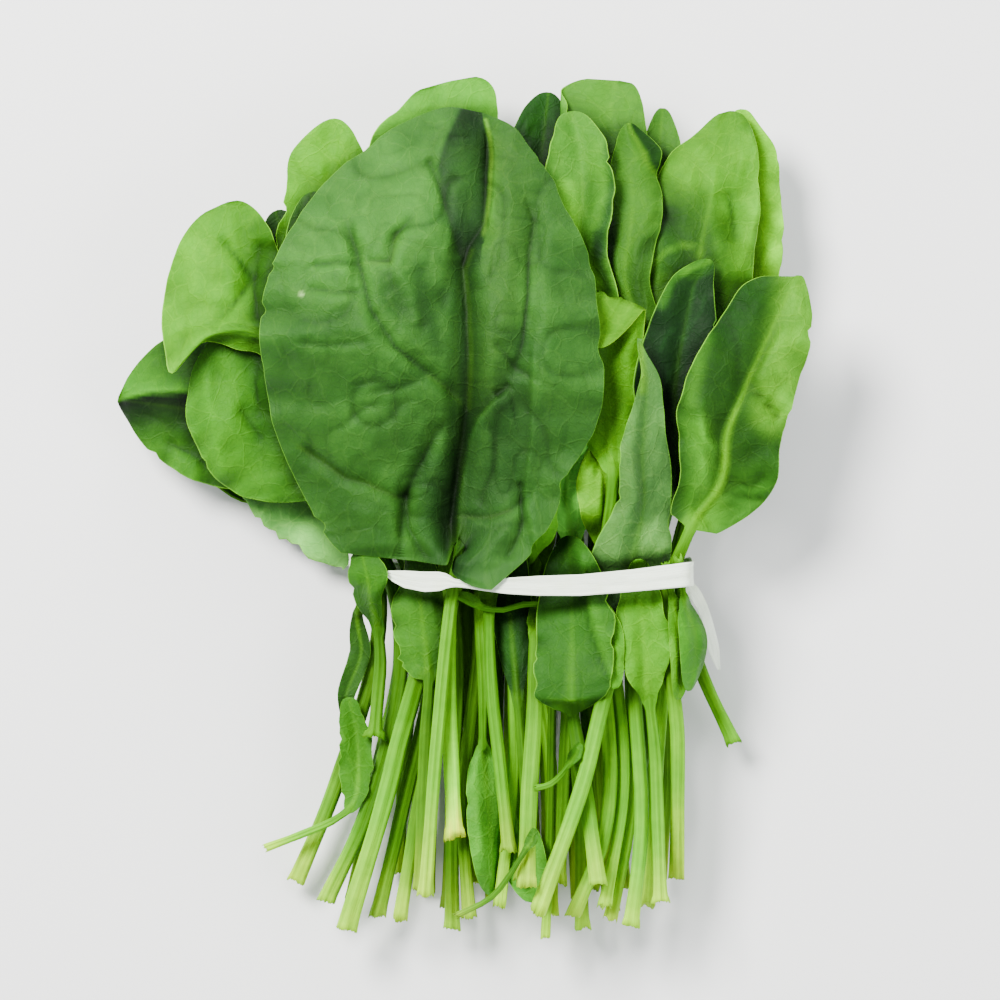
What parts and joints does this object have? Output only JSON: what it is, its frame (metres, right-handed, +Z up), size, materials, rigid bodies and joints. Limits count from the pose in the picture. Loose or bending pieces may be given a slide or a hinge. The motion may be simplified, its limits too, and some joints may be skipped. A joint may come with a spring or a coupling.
{
  "type": "spinach bunch",
  "caption": "Bunch of fresh spinach leaves lying flat, their cut stalks gathered and tied by one flat off-white tape.",
  "frame": {"origin": "on the surface the bunch lies on, under the middle of its bounding box", "axes": "+Z up from the surface, +Y from the cut stalk ends towards the leaf tips, +X to the right of a viewer who looks down with the leaf tips away from them"},
  "size_m": [0.2425, 0.3021, 0.085],
  "materials": {
    "leaf_light": "waxy light green blade with a pale midrib, yellow-green stalk",
    "leaf_mid": "waxy mid green blade with a pale midrib, yellow-green stalk",
    "leaf_dark": "waxy dark green blade with a soft bluish sheen, yellow-green stalk",
    "leaf_pale": "pale underside of a blade, yellow-green stalk",
    "leaf_yellow": "young yellow-green blade and stalk",
    "tape": "off-white fibrous tape, slightly glossy"
  },
  "bodies": {
    "root": {"tape": "tape", "leaf_under_01": "leaf_mid", "leaf_under_02": "leaf_light", "leaf_under_03": "leaf_mid", "leaf_under_04": "leaf_mid", "leaf_under_05": "leaf_light", "leaf_under_06": "leaf_mid", "leaf_under_07": "leaf_mid", "leaf_under_08": "leaf_light", "leaf_under_09": "leaf_mid", "leaf_under_10": "leaf_mid", "leaf_under_11": "leaf_light", "leaf_under_12": "leaf_mid", "leaf_under_13": "leaf_mid", "leaf_lower_left_pale": "leaf_pale", "leaf_far_left": "leaf_mid", "leaf_top_dark": "leaf_dark", "leaf_left_dark": "leaf_dark", "leaf_right_back": "leaf_light", "leaf_top_small": "leaf_mid", "leaf_top_pale": "leaf_light", "leaf_top_fold": "leaf_mid", "leaf_upper_left": "leaf_light", "leaf_inner_right": "leaf_mid", "leaf_upper_right": "leaf_light", "leaf_left_narrow": "leaf_dark", "leaf_upper_roll": "leaf_mid", "leaf_upper_cup": "leaf_light", "leaf_left_low": "leaf_mid", "leaf_left_high": "leaf_light", "leaf_thin_end": "leaf_yellow", "leaf_yellow_under": "leaf_yellow", "leaf_blade_low": "leaf_mid", "leaf_curl_low": "leaf_mid", "leaf_shade_mid": "leaf_mid", "leaf_shade_left": "leaf_mid", "leaf_small_bright": "leaf_yellow", "leaf_yellow_young": "leaf_yellow", "leaf_right_dark": "leaf_dark", "leaf_blade_centre": "leaf_mid", "leaf_centre_right": "leaf_dark", "leaf_right_large": "leaf_light", "leaf_blade_narrow": "leaf_dark", "leaf_left_tag": "leaf_dark", "leaf_torn_left": "leaf_mid", "leaf_blade_right": "leaf_light", "leaf_tag_right": "leaf_light", "leaf_tag_outer": "leaf_dark", "leaf_curl_left": "leaf_mid", "leaf_tag_centre": "leaf_light", "leaf_mid_stalk": "leaf_light", "leaf_inner_stalk": "leaf_light", "leaf_front_stalk": "leaf_light", "leaf_thin_stem": "leaf_mid", "leaf_cross_stem": "leaf_light", "leaf_cross_low": "leaf_mid", "leaf_left_drop": "leaf_mid", "leaf_front_large": "leaf_dark"}
  },
  "joints": []
}
